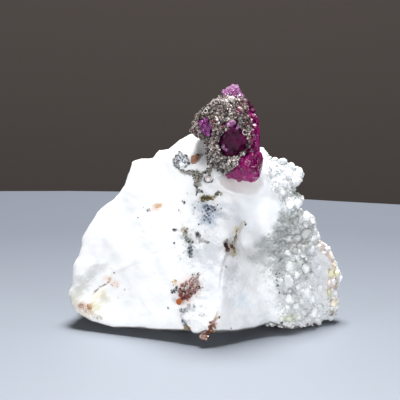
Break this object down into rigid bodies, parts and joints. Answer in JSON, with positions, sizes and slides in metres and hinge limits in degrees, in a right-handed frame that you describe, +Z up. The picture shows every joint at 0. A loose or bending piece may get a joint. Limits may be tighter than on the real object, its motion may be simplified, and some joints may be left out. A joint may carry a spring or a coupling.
{
  "type": "ruby on matrix",
  "caption": "Hand specimen of white calcite marble with a ruby crystal group in a grey mica crust on top, grey and brown mica grains in its front and knobbly calcite on its right flank.",
  "frame": {"origin": "middle of the bounding box in X and Y, on the surface that the rock rests on", "axes": "+Z up as it stands in the picture, -Y towards the camera (the side with the ruby), +X to the right as seen from the front"},
  "size_m": [0.0542, 0.0374, 0.0494],
  "materials": {
    "marble": "satin",
    "mica_crust": "satin",
    "ruby": "gloss",
    "mica": "satin",
    "olive_crystal": "gloss",
    "amber_crystal": "gloss",
    "brown_crystal": "gloss"
  },
  "bodies": {
    "root": {"marble_matrix": "marble", "mica_crust": "mica_crust", "ruby_crystal": "ruby", "ruby_crystal_small": "ruby", "mica_patch": "mica", "amber_grain_upper": "amber_crystal", "mica_vein_upper": "mica", "olive_grain_left": "olive_crystal", "olive_grain_right": "olive_crystal", "mica_vein_middle": "mica", "mica_vein_lower": "mica", "brown_grain_spur": "brown_crystal", "brown_mica_cluster": "brown_crystal", "amber_grain_lower": "amber_crystal", "brown_grain_foot_left": "brown_crystal", "brown_grain_foot_right": "brown_crystal", "brown_knob_foot": "brown_crystal"}
  },
  "joints": []
}
